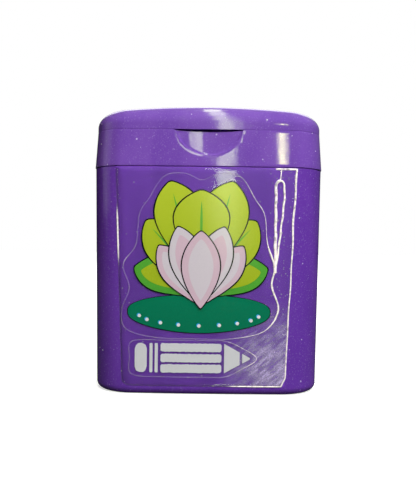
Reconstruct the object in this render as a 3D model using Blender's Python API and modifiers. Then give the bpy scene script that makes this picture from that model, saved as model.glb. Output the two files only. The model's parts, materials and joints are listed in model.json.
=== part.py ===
"""Two-hole pencil sharpener with a shavings container, a plug-in head and a hinged flip lid.

Frame: +Z up, -Y is the front face with the finger scoop, origin at the centre of the base.
All driving dimensions are in millimetres and become metres through MM.
"""

import math

import bmesh
import bpy
from mathutils import Matrix, Vector

MM = 0.001

# Overall form
WIDTH = 45.0
DEPTH = 25.0
HEIGHT = 55.6
SEAM_Z = 43.6
LID_Z = 50.7
PART_GAP = 0.2
BOW_FRONT = 0.5
BOW_SIDE = 0.4
CORNER_TOP = 6.0
CORNER_BASE = 7.0
BASE_NARROWING = 0.5
HEAD_NARROWING = 0.3
HEAD_STEP = 0.12

# Walls
WALL = 1.5
FLOOR = 1.6
BASE_FILLET = 1.5
DECK = 1.6
LIP_DEPTH = 5.0
LIP_WALL = 1.2
LIP_GAP = 0.15
LID_WALL = 1.4
LID_FILLET = 3.4
CROWN_DROP = 0.7
CROWN_AT = 17.0

# Finger scoop: a shallow round recess in the front face, and a nail slot above it
SCOOP_RADIUS = 6.7
SCOOP_DEPTH = 0.55
SCOOP_LOW_Z = 45.8
SLOT_HALF = 6.7
SLOT_DEPTH = 2.2
SLOT_HEIGHT = 0.42
SCOOP_BACKING_Y = 8.9
SCOOP_BACKING_HALF = 8.0
LID_LEDGE_Z = 52.2

# Hinge at the top of the back face
HINGE_Y = DEPTH / 2
HINGE_Z = LID_Z - PART_GAP / 2
BARREL_RADIUS = 1.25
RELIEF_RADIUS = 1.45
BARREL_HALF = 6.0
KNUCKLE_START = 6.3
KNUCKLE_END = 9.6
HINGE_RAIL_HALF = 11.5
STUB_RADIUS = 0.6
STUB_BORE = 0.75
STUB_END = 9.2

# Pencil holes: x of the axis, bore radius, cone half angle, block half width and half depth
STANDARD = {"name": "standard", "x": -9.6, "bore": 4.1, "angle": 11.3, "half_w": 6.6, "half_d": 5.7}
JUMBO = {"name": "jumbo", "x": 8.6, "bore": 5.8, "angle": 13.0, "half_w": 8.2, "half_d": 7.4}
LEAD_IN = 3.2
CONE_TIP = 0.9
BLOCK_FOOT = 1.0
INSERT_TOP_Z = LID_Z - PART_GAP - DECK - 0.3
SOCKET_WALL = 1.2
SOCKET_GAP = 0.15
SOCKET_DEPTH = 3.6
HOLE_CHAMFER = 0.6
SEAT_INSET = 0.5
SEAL_WALL = 0.9

# Blades and their screws
BLADE_THICK = 0.7
BLADE_GAP = 0.08
BLADE_BEVEL = 1.6
SCREW_SHANK = 1.2
SCREW_HOLE = 1.3
SCREW_HEAD = 2.1
SCREW_HEAD_HEIGHT = 1.1
SCREW_LENGTH = 3.6
SCREW_SLOT = 0.5

# Labels on the front face
FILM_THICK = 0.16
FILM_GAP = 0.08
FILM_TOP_HALF = 16.7
FILM_BASE_HALF = 15.4
FILM_LOW_Z = 1.8
FILM_HIGH_Z = 43.2
MOTIF_THICK = 0.12
MOTIF_GAP = 0.05
MOTIF_BOX = (-15.0, 12.0, 12.2, 40.8)
MARK_BOX = (-13.6, 10.4, 3.9, 10.2)
DECAL_CORNER = 2.4

# Mesh resolution
CORNER_STEPS = 6
FACE_STEPS = 6
SIDE_STEPS = 2
ROUND_STEPS = 24
FILLET_STEPS = 5

PURPLE = (0.17, 0.055, 0.46, 1.0)
GREY = (0.62, 0.62, 0.64, 1.0)
STEEL = (0.66, 0.67, 0.69, 1.0)
BRASSY = (0.72, 0.70, 0.64, 1.0)
FILM = (0.30, 0.16, 0.60, 1.0)
GREEN = (0.33, 0.55, 0.10, 1.0)
WHITE = (0.80, 0.80, 0.84, 1.0)


# ---------------------------------------------------------------- helpers
def collection(name):
    made = bpy.data.collections.new(name)
    bpy.context.scene.collection.children.link(made)
    return made


def plastic(name, colour, roughness, metallic=0.0):
    material = bpy.data.materials.new(name)
    material.use_nodes = True
    shader = material.node_tree.nodes["Principled BSDF"]
    shader.inputs["Base Color"].default_value = colour
    shader.inputs["Roughness"].default_value = roughness
    shader.inputs["Metallic"].default_value = metallic
    return material


def as_object(name, bm, group, material=None, smooth=35.0):
    """Turns a bmesh in millimetres into an object in metres, with its normals facing out."""
    bmesh.ops.recalc_face_normals(bm, faces=bm.faces)
    bmesh.ops.scale(bm, vec=(MM, MM, MM), verts=bm.verts)
    mesh = bpy.data.meshes.new(name)
    bm.to_mesh(mesh)
    bm.free()
    mesh.shade_smooth()
    mesh.set_sharp_from_angle(angle=math.radians(smooth))
    made = bpy.data.objects.new(name, mesh)
    group.objects.link(made)
    if material:
        mesh.materials.append(material)
    return made


def box(name, low, high, group, material=None):
    bm = bmesh.new()
    size = Vector(high) - Vector(low)
    middle = (Vector(high) + Vector(low)) / 2
    bmesh.ops.create_cube(bm, size=1.0, matrix=Matrix.Translation(middle) @ Matrix.Diagonal((*size, 1.0)))
    return as_object(name, bm, group, material)


def cone(name, group, low, high, radius_low, radius_high, material=None, steps=ROUND_STEPS):
    """A cone or cylinder between two points."""
    low, high = Vector(low), Vector(high)
    along = high - low
    turn = along.to_track_quat("Z", "Y").to_matrix().to_4x4()
    place = Matrix.Translation((low + high) / 2) @ turn
    bm = bmesh.new()
    bmesh.ops.create_cone(
        bm,
        cap_ends=True,
        segments=steps,
        radius1=radius_low,
        radius2=radius_high,
        depth=along.length,
        matrix=place,
    )
    return as_object(name, bm, group, material)


def turned(name, group, profile, material=None, steps=ROUND_STEPS, axis="Z"):
    """A solid of revolution about its own axis. The profile is a list of (radius, height), closed on the axis."""
    bm = bmesh.new()
    verts = [bm.verts.new((r, 0, h) if axis == "Z" else (r, h, 0)) for r, h in profile]
    for first, second in zip(verts, verts[1:]):
        bm.edges.new((first, second))
    bmesh.ops.spin(
        bm,
        geom=bm.verts[:] + bm.edges[:],
        cent=(0, 0, 0),
        axis=(0, 0, 1) if axis == "Z" else (0, 1, 0),
        angle=2 * math.pi,
        steps=steps,
        use_merge=True,
    )
    bmesh.ops.remove_doubles(bm, verts=bm.verts, dist=0.01)
    return as_object(name, bm, group, material)


def boolean(target, tool, operation):
    """Adds a Boolean modifier to target and turns tool into a hidden guide."""
    tool.hide_render = True
    tool.display_type = "WIRE"
    modifier = target.modifiers.new(f"{operation.lower()} {tool.name}", "BOOLEAN")
    modifier.operation = operation
    modifier.solver = "EXACT"
    modifier.object = tool


def cut(target, tool):
    boolean(target, tool, "DIFFERENCE")


def join(target, tool):
    boolean(target, tool, "UNION")


# ---------------------------------------------------------------- the plan outline and its mouldings
def section(z):
    """Half width, half depth and corner radius of the outer form at height z."""
    below = max(0.0, (SEAM_Z - z) / SEAM_Z)
    above = max(0.0, (z - SEAM_Z) / (LID_Z - SEAM_Z))
    narrowing = BASE_NARROWING * below + HEAD_NARROWING * min(above, 1.0)
    corner = CORNER_TOP + (CORNER_BASE - CORNER_TOP) * below
    return WIDTH / 2 - narrowing, DEPTH / 2 - narrowing, corner


def outline(z, inset):
    """The closed plan outline at height z, moved inwards by inset: a rounded rectangle with bowed faces."""
    half_w, half_d, corner = section(z)
    half_w -= inset + BOW_SIDE
    half_d -= inset + BOW_FRONT
    corner = max(corner - inset, 0.6)
    centres = [(1, 1, 0), (-1, 1, 90), (-1, -1, 180), (1, -1, 270)]
    points = []
    for side_x, side_y, start in centres:
        middle = Vector((side_x * (half_w - corner), side_y * (half_d - corner)))
        for step in range(CORNER_STEPS + 1):
            angle = math.radians(start + 90 * step / CORNER_STEPS)
            points.append(middle + corner * Vector((math.cos(angle), math.sin(angle))))
        last = points[-1]
        across = 2 * (half_w - corner) if start in (0, 180) else 2 * (half_d - corner)
        heading = {0: (-1, 0), 90: (0, -1), 180: (1, 0), 270: (0, 1)}[start]
        steps = FACE_STEPS if start in (0, 180) else SIDE_STEPS
        for step in range(1, steps):
            points.append(last + Vector(heading) * across * step / steps)
    bowed = []
    for point in points:
        grow_x = 1 + BOW_SIDE / half_w * (1 - (point.y / half_d) ** 2)
        grow_y = 1 + BOW_FRONT / half_d * (1 - (point.x / half_w) ** 2)
        bowed.append(Vector((point.x * grow_x, point.y * grow_y, z)))
    return bowed


def moulding(name, profile, group, material, crown=False):
    """A closed shell swept round the plan outline. The profile is a list of (inset, z), capped at both ends."""
    bm = bmesh.new()
    rings = []
    for inset, z in profile:
        rings.append([bm.verts.new(point) for point in outline(z, inset)])
    for lower, upper in zip(rings, rings[1:]):
        count = len(lower)
        for i in range(count):
            j = (i + 1) % count
            bm.faces.new((lower[i], lower[j], upper[j], upper[i]))
    bm.faces.new(rings[0])
    bm.faces.new(rings[-1])
    if crown:
        for vert in bm.verts:
            height = (vert.co.z - LID_Z) / (HEIGHT - LID_Z)
            vert.co.z -= CROWN_DROP * (vert.co.x / CROWN_AT) ** 2 * height
    return as_object(name, bm, group, material)


def fillet(inset, z, radius, steps, rising=True):
    """Profile points of a quarter-round outer edge: at the base (rising) or at the top of the lid."""
    points = []
    for step in range(steps + 1):
        angle = math.pi / 2 * step / steps
        reach = radius * (1 - math.sin(angle)) if rising else radius * (1 - math.cos(angle))
        lift = radius * (1 - math.cos(angle)) if rising else -radius * (1 - math.sin(angle))
        points.append((inset + reach, z + lift))
    return points


def front_y(x, z, out=0.0):
    """Y of the front face at (x, z), moved forwards by out."""
    half_w, half_d, _ = section(z)
    flat_w = half_w - BOW_SIDE
    return -(half_d - BOW_FRONT + BOW_FRONT * (1 - (x / flat_w) ** 2)) - out


# ---------------------------------------------------------------- container
def make_container(group, material):
    top = SEAM_Z - PART_GAP
    profile = fillet(0.0, 0.0, BASE_FILLET, FILLET_STEPS)
    profile += [
        (0.0, top * 0.5),
        (0.0, top - 0.25),
        (0.2, top),
        (WALL, top),
        (WALL, top * 0.5),
        (WALL, FLOOR + 1.0),
        (WALL + 0.3, FLOOR + 0.3),
        (WALL + 1.0, FLOOR),
    ]
    return moulding("container", profile, group, material)


# ---------------------------------------------------------------- head
def make_head(group, guides, material):
    top = LID_Z - PART_GAP
    deck_under = top - DECK
    lip_out = WALL + LIP_GAP
    lip_in = lip_out + LIP_WALL
    profile = [
        (lip_in + 0.5, deck_under),
        (lip_in, deck_under - 0.5),
        (lip_in, SEAM_Z),
        (lip_in, SEAM_Z - LIP_DEPTH),
        (lip_out + 0.3, SEAM_Z - LIP_DEPTH),
        (lip_out, SEAM_Z - LIP_DEPTH + 0.6),
        (lip_out, SEAM_Z),
        (0.15 - HEAD_STEP, SEAM_Z),
        (-HEAD_STEP, SEAM_Z + 0.2),
        (-HEAD_STEP * 0.5, (SEAM_Z + top) / 2),
        (0.0, top - 0.15),
        (0.15, top),
    ]
    head = moulding("head", profile, group, material)

    backing = box(
        "scoop backing",
        (-SCOOP_BACKING_HALF, -DEPTH / 2 + 0.8, SCOOP_LOW_Z - 1.6),
        (SCOOP_BACKING_HALF, -SCOOP_BACKING_Y, deck_under + 0.4),
        guides,
    )
    join(head, backing)
    for hole in (STANDARD, JUMBO):
        add_socket(head, hole, deck_under, top, guides)
    cut(head, scoop_recess(guides))
    cut(head, nail_slot(guides))
    add_head_hinge(head, guides)
    return head


def add_socket(head, hole, deck_under, top, guides):
    """A rectangular socket under the deck that holds an insert, and the pencil hole through the deck."""
    x, half_w, half_d = hole["x"], hole["half_w"] + SOCKET_GAP, hole["half_d"] + SOCKET_GAP
    rim = box(
        f"socket {hole['name']}",
        (x - half_w - SOCKET_WALL, -half_d - SOCKET_WALL, deck_under - SOCKET_DEPTH),
        (x + half_w + SOCKET_WALL, half_d + SOCKET_WALL, deck_under + 0.4),
        guides,
    )
    join(head, rim)
    pocket = box(
        f"pocket {hole['name']}",
        (x - half_w, -half_d, deck_under - SOCKET_DEPTH - 1.0),
        (x + half_w, half_d, deck_under + 0.06),
        guides,
    )
    cut(head, pocket)
    bore = hole["bore"]
    profile = [
        (0, deck_under - 0.5),
        (bore, deck_under - 0.5),
        (bore, top - HOLE_CHAMFER),
        (bore + 2 * HOLE_CHAMFER, top + HOLE_CHAMFER),
        (0, top + HOLE_CHAMFER),
    ]
    mouth = turned(f"mouth {hole['name']}", guides, profile)
    mouth.location.x = x * MM
    cut(head, mouth)


def scoop_recess(guides):
    """The round cutter that sinks the finger scoop into the front face."""
    middle_z = SCOOP_LOW_Z + SCOOP_RADIUS
    deep = front_y(0, SCOOP_LOW_Z) + SCOOP_DEPTH
    ends = (0, -DEPTH, middle_z), (0, deep, middle_z)
    return cone("scoop", guides, *ends, SCOOP_RADIUS, SCOOP_RADIUS, steps=2 * ROUND_STEPS)


def nail_slot(guides):
    """A lens-shaped slot under the lid's edge, deepest in the middle of the scoop."""
    top = LID_Z - PART_GAP
    centre = Matrix.Translation((0, front_y(0, top), top))
    bm = bmesh.new()
    shape = centre @ Matrix.Diagonal((SLOT_HALF, SLOT_DEPTH, SLOT_HEIGHT, 1.0))
    bmesh.ops.create_uvsphere(bm, u_segments=40, v_segments=28, radius=1.0, matrix=shape)
    return as_object("nail slot", bm, guides)


def along_hinge(name, low_x, high_x, radius, group, steps=16):
    return cone(name, group, (low_x, HINGE_Y, HINGE_Z), (high_x, HINGE_Y, HINGE_Z), radius, radius, steps=steps)


def add_head_hinge(head, guides):
    """Two knuckles with bores for the lid's stub pins, and a relief for the lid's barrel."""
    barrel_end = (BARREL_HALF + KNUCKLE_START) / 2
    cut(head, along_hinge("barrel relief", -barrel_end, barrel_end, RELIEF_RADIUS, guides))
    for side in (-1, 1):
        ends = sorted((side * KNUCKLE_START, side * KNUCKLE_END))
        join(head, along_hinge(f"knuckle {side}", *ends, BARREL_RADIUS, guides))
        bore = sorted((side * (KNUCKLE_START - 0.5), side * (KNUCKLE_END + 0.5)))
        cut(head, along_hinge(f"knuckle bore {side}", *bore, STUB_BORE, guides, steps=12))


# ---------------------------------------------------------------- lid
def make_lid(group, guides, material):
    under = HEIGHT - LID_WALL
    profile = [
        (LID_WALL + 1.6, under - 0.1),
        (LID_WALL + 0.5, under - 0.7),
        (LID_WALL, under - 1.6),
        (LID_WALL, LID_Z),
        (0.15, LID_Z),
        (0.0, LID_Z + 0.15),
    ]
    profile += fillet(0.0, HEIGHT, LID_FILLET, FILLET_STEPS + 2, rising=False)
    profile.append((LID_FILLET + 4.0, HEIGHT))
    lid = moulding("flip_lid", profile, group, material, crown=True)

    ledge = box(
        "nail ledge",
        (-SCOOP_BACKING_HALF, -DEPTH / 2 + 0.9, LID_Z),
        (SCOOP_BACKING_HALF, -SCOOP_BACKING_Y, LID_LEDGE_Z),
        guides,
    )
    join(lid, ledge)
    rail = box(
        "hinge rail",
        (-HINGE_RAIL_HALF, SCOOP_BACKING_Y + 0.4, LID_Z),
        (HINGE_RAIL_HALF, DEPTH / 2 - 0.9, LID_LEDGE_Z + 0.4),
        guides,
    )
    join(lid, rail)
    for hole in (STANDARD, JUMBO):
        add_seal(lid, hole, under, guides)
    for side in (-1, 1):
        start = (BARREL_HALF + KNUCKLE_START) / 2
        ends = sorted((side * start, side * (KNUCKLE_END + 0.15)))
        cut(lid, along_hinge(f"knuckle relief {side}", *ends, RELIEF_RADIUS, guides))
    join(lid, along_hinge("barrel", -BARREL_HALF, BARREL_HALF, BARREL_RADIUS, guides))
    join(lid, along_hinge("stub pins", -STUB_END, STUB_END, STUB_RADIUS, guides, steps=12))
    return lid


def add_seal(lid, hole, under, guides):
    """A ring under the lid that closes round the mouth of a pencil hole."""
    x, outer = hole["x"], hole["bore"] + HOLE_CHAMFER + SEAL_WALL
    ring = cone(f"seal {hole['name']}", guides, (x, 0, LID_Z), (x, 0, under + 0.4), outer, outer)
    join(lid, ring)
    inner = outer - SEAL_WALL
    hollow = cone(f"seal hollow {hole['name']}", guides, (x, 0, LID_Z - 1), (x, 0, under - 0.3), inner, inner)
    cut(lid, hollow)


# ---------------------------------------------------------------- inserts, blades and screws
def cone_length(hole):
    return (hole["bore"] - CONE_TIP) / math.tan(math.radians(hole["angle"]))


def seat_matrix(hole):
    """Frame on the blade's seat: X across, Z up along the cutting edge, Y out of the seat, origin mid-edge."""
    slope = math.radians(hole["angle"])
    length = cone_length(hole)
    middle_radius = (hole["bore"] + CONE_TIP) / 2 - SEAT_INSET / math.cos(slope)
    middle = Vector((hole["x"], middle_radius, INSERT_TOP_Z - LEAD_IN - length / 2))
    return Matrix.Translation(middle) @ Matrix.Rotation(-slope, 4, "X")


def place_in_seat(made, hole):
    scale = Matrix.Diagonal((MM, MM, MM, 1.0))
    made.matrix_world = scale @ seat_matrix(hole) @ scale.inverted()


def make_insert(hole, group, guides, material):
    """A wedge-backed block with a conical bore, and a slanted seat that opens into the cone."""
    name, x = hole["name"], hole["x"]
    low = INSERT_TOP_Z - LEAD_IN - cone_length(hole) - BLOCK_FOOT
    insert = box(
        f"{name}_insert",
        (x - hole["half_w"], -hole["half_d"], low),
        (x + hole["half_w"], hole["half_d"], INSERT_TOP_Z),
        group,
        material,
    )
    bevel = insert.modifiers.new("edges", "BEVEL")
    bevel.width = 0.5 * MM
    bevel.segments = 2
    reach = 40.0
    seat = box(f"seat {name}", (-reach / 2, 0, -reach), (reach / 2, reach / 2, cone_length(hole) / 2 - 0.6), guides)
    place_in_seat(seat, hole)
    cut(insert, seat)
    cone_top = INSERT_TOP_Z - LEAD_IN
    profile = [
        (0, INSERT_TOP_Z + 1),
        (hole["bore"], INSERT_TOP_Z + 1),
        (hole["bore"], cone_top),
        (CONE_TIP, cone_top - cone_length(hole)),
        (CONE_TIP, low - 1),
        (0, low - 1),
    ]
    taper = turned(f"taper {name}", guides, profile)
    taper.location.x = x * MM
    cut(insert, taper)
    pilot = cone(f"pilot {name}", guides, (0, -SCREW_LENGTH, 0), (0, 1, 0), SCREW_HOLE, SCREW_HOLE, steps=16)
    place_at_screw(pilot, hole)
    cut(insert, pilot)
    return insert


def blade_size(hole):
    """Width and length of the blade that covers this insert's seat."""
    return hole["half_w"] - 0.2, cone_length(hole) + 1.0


def place_at_screw(made, hole):
    width, _ = blade_size(hole)
    scale = Matrix.Diagonal((MM, MM, MM, 1.0))
    shift = Matrix.Translation((width * 0.62, 0, -cone_length(hole) * 0.08))
    made.matrix_world = scale @ seat_matrix(hole) @ shift @ scale.inverted()


def make_blade(hole, group, guides, material):
    """A flat blade whose ground edge lies along the middle of the cone."""
    width, length = blade_size(hole)
    name = f"{hole['name']}_blade"
    low, high = -length / 2 - 0.6, length / 2 - 1.4
    blade = box(name, (0, BLADE_GAP, low), (width, BLADE_GAP + BLADE_THICK, high), group, material)
    place_in_seat(blade, hole)
    grind = box(f"grind {name}", (-4, 0, -length), (0, 4, length), guides)
    angle = math.atan2(BLADE_THICK, BLADE_BEVEL)
    scale = Matrix.Diagonal((MM, MM, MM, 1.0))
    edge = Matrix.Translation((-0.02, BLADE_GAP + 0.12, 0)) @ Matrix.Rotation(angle - math.pi / 2, 4, "Z")
    grind.matrix_world = scale @ seat_matrix(hole) @ edge @ scale.inverted()
    cut(blade, grind)
    hole_tool = cone(f"blade hole {name}", guides, (0, -1, 0), (0, 2, 0), SCREW_HOLE, SCREW_HOLE, steps=16)
    place_at_screw(hole_tool, hole)
    cut(blade, hole_tool)
    return blade


def make_screw(hole, group, guides, material):
    """A pan-head slotted screw that clamps the blade to its seat."""
    name = f"{hole['name']}_blade_screw"
    seat = BLADE_GAP + BLADE_THICK + BLADE_GAP
    rim, top = seat + SCREW_HEAD_HEIGHT * 0.55, seat + SCREW_HEAD_HEIGHT
    outer = [(0, top), (SCREW_HEAD * 0.62, top), (SCREW_HEAD * 0.92, (rim + top) / 2 + 0.1), (SCREW_HEAD, rim)]
    inner = [(SCREW_HEAD, seat), (SCREW_SHANK, seat), (SCREW_SHANK, -SCREW_LENGTH + 1), (0, -SCREW_LENGTH + 0.3)]
    screw = turned(name, group, outer + inner, material, steps=16, axis="Y")
    place_at_screw(screw, hole)
    slot = box(
        f"slot {name}",
        (-SCREW_HEAD - 1, top - SCREW_HEAD_HEIGHT * 0.5, -SCREW_SLOT / 2),
        (SCREW_HEAD + 1, top + 1, SCREW_SLOT / 2),
        guides,
    )
    place_at_screw(slot, hole)
    cut(screw, slot)
    return screw


# ---------------------------------------------------------------- labels on the front face
def sheet(name, corners, out, thick, group, material, columns=12, rows=8):
    """A thin sheet that follows the front face. corners(v) gives the left and right x at height share v."""
    bm = bmesh.new()
    grid = []
    for row in range(rows + 1):
        low_x, high_x, z = corners(row / rows)
        line = []
        for column in range(columns + 1):
            x = low_x + (high_x - low_x) * column / columns
            line.append(bm.verts.new((x, front_y(x, z, out), z)))
        grid.append(line)
    for lower, upper in zip(grid, grid[1:]):
        for i in range(columns):
            bm.faces.new((lower[i], lower[i + 1], upper[i + 1], upper[i]))
    made = as_object(name, bm, group, material)
    shell = made.modifiers.new("thickness", "SOLIDIFY")
    shell.thickness = thick * MM
    shell.offset = facing_front(made)
    return made


def facing_front(made):
    """The Solidify offset that thickens a front sheet away from the body."""
    return 1.0 if made.data.polygons[0].normal.y < 0 else -1.0


def make_film(group, material):
    def sides(share):
        half = FILM_BASE_HALF + (FILM_TOP_HALF - FILM_BASE_HALF) * share
        return -half, half, FILM_LOW_Z + (FILM_HIGH_Z - FILM_LOW_Z) * share

    return sheet("label_film", sides, FILM_GAP, FILM_THICK, group, material)


def make_decal(name, bounds, group, material):
    """A decal on the film, in the smooth rounded outline of its box."""
    left, right, low, high = bounds
    rows = 10

    def sides(share):
        z = low + (high - low) * share
        near_edge = min(z - low, high - z)
        short = max(0.0, DECAL_CORNER - near_edge)
        pull = DECAL_CORNER - math.sqrt(max(DECAL_CORNER**2 - short**2, 0.0))
        return left + pull, right - pull, z

    out = FILM_GAP + FILM_THICK + MOTIF_GAP
    return sheet(name, sides, out, MOTIF_THICK, group, material, rows=rows)


# ---------------------------------------------------------------- the whole object
def clear_scene():
    for old in list(bpy.data.objects):
        bpy.data.objects.remove(old)


def main():
    clear_scene()
    parts = collection("pencil sharpener")
    guides = collection("cutters")
    purple = plastic("purple_plastic", PURPLE, 0.18)
    grey = plastic("insert_plastic", GREY, 0.4)
    steel = plastic("blade_steel", STEEL, 0.25, metallic=1.0)
    plated = plastic("screw_steel", BRASSY, 0.3, metallic=1.0)
    film = plastic("clear_film", FILM, 0.1)
    motif = plastic("motif_print", GREEN, 0.25)
    mark = plastic("mark_print", WHITE, 0.25)

    make_container(parts, purple)
    make_head(parts, guides, purple)
    make_lid(parts, guides, purple)
    for hole in (STANDARD, JUMBO):
        make_insert(hole, parts, guides, grey)
        make_blade(hole, parts, guides, steel)
        make_screw(hole, parts, guides, plated)
    make_film(parts, film)
    make_decal("motif_decal", MOTIF_BOX, parts, motif)
    make_decal("mark_decal", MARK_BOX, parts, mark)


main()
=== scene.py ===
"""Looks of the two-hole pencil sharpener: fine shells, inserts, blades, labels, materials, light and camera.

Shapes are worked out in millimetres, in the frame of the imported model, and become metres through MM.
"""

import json
import math
import random

import bmesh
import bpy
from mathutils import Matrix, Vector


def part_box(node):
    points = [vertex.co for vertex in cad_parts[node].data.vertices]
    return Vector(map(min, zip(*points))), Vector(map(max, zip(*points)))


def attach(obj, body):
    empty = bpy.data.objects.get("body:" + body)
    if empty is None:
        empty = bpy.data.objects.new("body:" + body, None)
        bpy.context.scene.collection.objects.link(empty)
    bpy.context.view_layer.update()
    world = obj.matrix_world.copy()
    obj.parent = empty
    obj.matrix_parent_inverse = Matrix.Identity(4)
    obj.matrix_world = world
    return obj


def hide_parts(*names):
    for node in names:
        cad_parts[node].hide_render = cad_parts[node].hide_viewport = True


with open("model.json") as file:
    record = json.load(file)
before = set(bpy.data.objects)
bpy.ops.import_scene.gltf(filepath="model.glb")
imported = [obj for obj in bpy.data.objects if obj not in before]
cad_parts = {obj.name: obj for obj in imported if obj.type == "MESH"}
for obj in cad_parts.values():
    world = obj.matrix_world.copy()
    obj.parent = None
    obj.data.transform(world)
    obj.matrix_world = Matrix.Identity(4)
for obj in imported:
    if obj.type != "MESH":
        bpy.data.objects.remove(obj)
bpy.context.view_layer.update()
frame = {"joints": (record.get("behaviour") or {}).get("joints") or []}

MM = 0.001
FRONT = -1

# ---------------------------------------------------------------- sizes of the frame, in millimetres
container_low, container_high = (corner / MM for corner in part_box("container"))
hinge = next(joint for joint in frame["joints"] if joint["name"] == "lid_hinge")
WIDTH = container_high.x - container_low.x
DEPTH = container_high.y - container_low.y
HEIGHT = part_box("flip_lid")[1].z / MM
SEAM_GAP = 0.2
SEAM_Z = container_high.z + SEAM_GAP
HINGE_Y = hinge["pos_m"][1] / MM
HINGE_Z = hinge["pos_m"][2] / MM
LID_Z = HINGE_Z + 0.1

BOW_FRONT = 0.5
BOW_SIDE = 0.4
CORNER_TOP = 6.0
CORNER_BASE = 7.0
BASE_NARROWING = 0.5
HEAD_NARROWING = 0.3
HEAD_STEP = 0.12
WALL = 1.5
FLOOR = 1.6
BASE_FILLET = 1.5
DECK = 1.6
LIP_DEPTH = 5.0
LIP_OUT = 1.65
LIP_IN = 2.85
LID_WALL = 1.4
LID_FILLET = 3.7
CROWN_DROP = 0.7
CROWN_AT = 17.0
EDGE_ROUND = 0.08
SEAM_LINE = 0.1
LID_LINE = 0.02
LID_EDGE = 0.03
LID_LOW = LID_Z - 0.04

# Finger scoop and nail slot
SCOOP_RADIUS = 6.7
SCOOP_DEPTH = 0.55
SCOOP_HOLLOW = 60.0
SCOOP_EDGE = 0.1
SCOOP_CENTRE_Z = 52.5
SLOT_RADII = (6.7, 2.2, 0.42)
BACKING_HALF = 8.0
BACKING_Y = 8.9
LEDGE_Z = 52.2

# Hinge
BARREL_RADIUS = 1.25
RELIEF_RADIUS = 1.45
BARREL_HALF = 6.0
KNUCKLE_START = 6.3
KNUCKLE_END = 9.6
BARREL_END = (BARREL_HALF + KNUCKLE_START) / 2
RAIL_HALF = 11.5
STUB_RADIUS = 0.6
STUB_BORE = 0.75
STUB_END = 9.2

# Pencil holes: x of the axis, bore radius, cone half angle, block half width and half depth
STANDARD = {"name": "standard", "x": -9.6, "bore": 4.1, "angle": 11.3, "half_w": 6.6, "half_d": 5.7}
JUMBO = {"name": "jumbo", "x": 8.6, "bore": 5.8, "angle": 13.0, "half_w": 8.2, "half_d": 7.4}
HOLES = (STANDARD, JUMBO)
LEAD_IN = 3.2
CONE_TIP = 0.9
BLOCK_FOOT = 1.0
INSERT_TOP_Z = 48.6
SOCKET_WALL = 1.2
SOCKET_GAP = 0.15
SOCKET_DEPTH = 3.6
MOUTH_ROUND = 0.6
SEAT_INSET = 0.5
SEAL_WALL = 0.9
GROOVE_COUNT = 4

# Blades and screws
BLADE_THICK = 0.7
BLADE_GAP = 0.08
BLADE_BEVEL = 1.6
SCREW_SHANK = 1.2
SCREW_HOLE = 1.3
SCREW_HEAD = 2.1
SCREW_HEAD_HEIGHT = 1.1
SCREW_LENGTH = 3.6
SCREW_SLOT = 0.5

# Labels, as distances in front of the front face
FILM_TOP_LEFT, FILM_TOP_RIGHT = -17.6, 16.8
FILM_BASE_LEFT, FILM_BASE_RIGHT = -16.0, 15.0
FILM_LOW_Z = 1.8
FILM_HIGH_Z = 43.2
FILM_OUT = 0.05
FILM_THICK = 0.1
ART_OUT = 0.17
LAYER = 0.014
ART_THICK = 0.01
# Painted highlight: a narrow white glowing loop on the film's right, drawn as a bead
HIGHLIGHT_LOOP_X = 12.9
HIGHLIGHT_LOOP_WIDTH = 1.6
HIGHLIGHT_LOOP_CAP = 0.06

# Mesh resolution
CORNER_STEPS = 20
FACE_STEPS = 44
SIDE_STEPS = 14
CAP_RINGS = 12
ROUND_STEPS = 96
SHARP_ANGLE = 32.0

random.seed(7)
scene = bpy.context.scene
workshop = bpy.data.collections.new("pencil sharpener looks")
scene.collection.children.link(workshop)


# ---------------------------------------------------------------- the outer form
def section(z):
    """Half width, half depth and corner radius of the outer form at height z."""
    below = max(0.0, (SEAM_Z - z) / SEAM_Z)
    above = min(max(0.0, (z - SEAM_Z) / (LID_Z - SEAM_Z)), 1.0)
    narrowing = BASE_NARROWING * below + HEAD_NARROWING * above
    corner = CORNER_TOP + (CORNER_BASE - CORNER_TOP) * below
    return WIDTH / 2 - narrowing, DEPTH / 2 - narrowing, corner


def front_y(x, z, out=0.0):
    """Y of the front face at (x, z), moved forwards by out."""
    half_w, half_d, corner = section(z)
    flat_w = half_w - BOW_SIDE
    past = max(0.0, abs(x) - (flat_w - corner))
    rounding = corner - math.sqrt(max(corner**2 - past**2, 0.0))
    return -(half_d - BOW_FRONT * (x / flat_w) ** 2 - rounding) - out


def outline(z, inset):
    """The closed plan outline at height z, moved inwards by inset: a rounded rectangle with bowed faces."""
    half_w, half_d, corner = section(z)
    half_w -= inset + BOW_SIDE
    half_d -= inset + BOW_FRONT
    corner = max(corner - inset, 0.6)
    points = []
    turns = ((1, 1, (-1, 0)), (-1, 1, (0, -1)), (-1, -1, (1, 0)), (1, -1, (0, 1)))
    for quarter, (side_x, side_y, heading) in enumerate(turns):
        middle = Vector((side_x * (half_w - corner), side_y * (half_d - corner)))
        for step in range(CORNER_STEPS + 1):
            angle = math.pi / 2 * (quarter + step / CORNER_STEPS)
            points.append(middle + corner * Vector((math.cos(angle), math.sin(angle))))
        across, steps = (half_w, FACE_STEPS) if quarter % 2 == 0 else (half_d, SIDE_STEPS)
        last = points[-1]
        for step in range(1, steps):
            points.append(last + Vector(heading) * 2 * (across - corner) * step / steps)
    return [bowed(point, half_w, half_d, z) for point in points]


def bowed(point, half_w, half_d, z):
    grow_x = 1 + BOW_SIDE / half_w * (1 - (point.y / half_d) ** 2)
    grow_y = 1 + BOW_FRONT / half_d * (1 - (point.x / half_w) ** 2)
    return Vector((point.x * grow_x, point.y * grow_y, z))


def even(low, high, steps):
    """Evenly spaced numbers from low to high, in that many steps."""
    return [low + (high - low) * step / steps for step in range(steps + 1)]


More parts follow.
